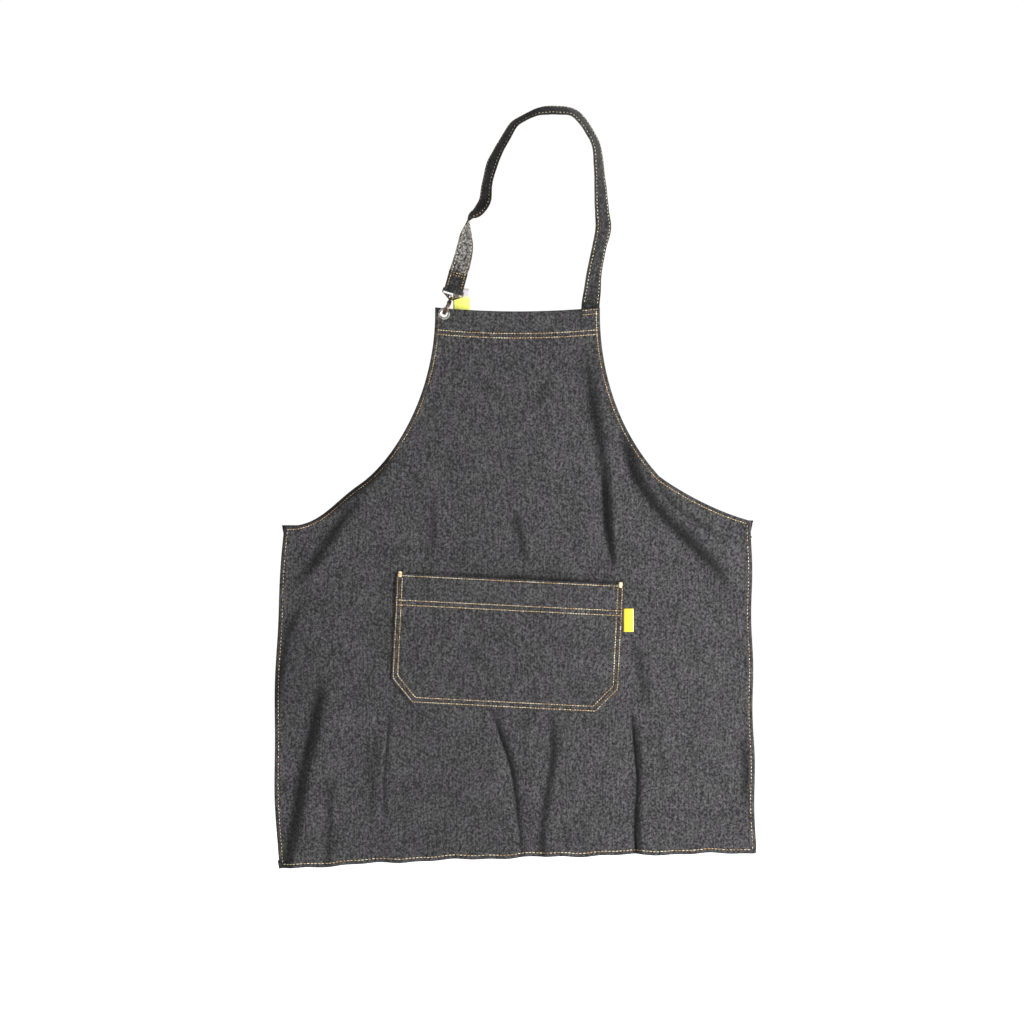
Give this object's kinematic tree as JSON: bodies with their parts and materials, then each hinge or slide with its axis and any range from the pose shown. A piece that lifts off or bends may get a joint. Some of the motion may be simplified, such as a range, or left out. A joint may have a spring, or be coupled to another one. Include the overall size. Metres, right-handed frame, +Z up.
{
  "type": "hanging bib apron",
  "caption": "Dark denim bib apron hung by its neck strap, which clips to an eyelet with a swivel snap hook; front pocket, sewn labels and waist ties behind.",
  "frame": {"origin": "the underside of the neck strap at the top of its loop, where it hangs on a peg", "axes": "+Z up, along the hanging length; +X to the right as seen from the front; the front of the apron faces -Y"},
  "size_m": [0.6024, 0.0274, 0.9563],
  "materials": {
    "denim": "charcoal denim, salt-and-pepper twill",
    "denim_back": "paler wrong side of the denim",
    "topstitch_thread": "tan to cream topstitching",
    "yellow_label": "woven yellow tape",
    "lemon_label": "woven lemon tape",
    "bright_nickel": "polished nickel",
    "antique_nickel": "antique nickel, darkened in the recesses",
    "steel": "spring steel"
  },
  "bodies": {
    "neck_strap": {"neck_strap": "denim", "strap_end_loop": "denim"},
    "apron": {"body_panel": "denim", "bib_top_hem": "denim", "left_armhole_hem": "denim", "right_armhole_hem": "denim", "left_side_hem": "denim", "right_side_hem": "denim", "bottom_hem": "denim", "pocket_panel": "denim", "pocket_top_hem": "denim_back", "left_bartack": "topstitch_thread", "right_bartack": "topstitch_thread", "eyelet_flange": "bright_nickel", "eyelet_washer": "bright_nickel", "strap_root_tab": "denim", "left_tie_tab": "denim", "right_tie_tab": "denim", "left_waist_tie": "denim", "right_waist_tie": "denim", "waist_bow": "denim"},
    "bib_label": {"bib_label": "lemon_label"},
    "pocket_label": {"pocket_label": "yellow_label"},
    "strap_ring": {"strap_ring": "antique_nickel"},
    "snap_hook": {"hook_body": "antique_nickel", "swivel_stud": "antique_nickel", "gate_pin": "steel", "gate_spring": "steel"},
    "gate": {"gate": "antique_nickel"}
  },
  "joints": [
    {"name": "neck_loop_fold", "type": "hinge", "parent": "neck_strap", "child": "apron", "pos_m": [0, 0.0008, -0.24304], "axis": [1, 0, 0], "range_deg": [-30, 100]},
    {"name": "bib_label_lean", "type": "hinge", "parent": "apron", "child": "bib_label", "pos_m": [-0.115, 0.0008, -0.24304], "axis": [1, 0, 0], "range_deg": [-100, 30]},
    {"name": "pocket_label_flip", "type": "hinge", "parent": "apron", "child": "pocket_label", "pos_m": [0.08747, -0.0017, -0.63122], "axis": [-0.0488, 0, -0.9988], "range_deg": [0, 85]},
    {"name": "ring_tilt", "type": "hinge", "parent": "neck_strap", "child": "strap_ring", "pos_m": [-0.12519, 0.0008, -0.21991], "axis": [0.9641, 0, -0.2656], "range_deg": [-1.5, 1.5]},
    {"name": "hook_swivel", "type": "hinge", "parent": "strap_ring", "child": "snap_hook", "pos_m": [-0.13445, 0.0008, -0.24304], "axis": [0.4226, 0, 0.9063], "range_deg": [-37, 10]},
    {"name": "gate_open", "type": "hinge", "parent": "snap_hook", "child": "gate", "pos_m": [-0.13121, 0.00488, -0.23404], "axis": [-0.8865, -0.2079, 0.4134], "range_deg": [0, 20], "stiffness_Nm_per_rad": 0.002, "springref_deg": -8.59}
  ],
  "couplings": [
    {"joint": "bib_label_lean", "follows": "neck_loop_fold", "ratio": -1}
  ]
}
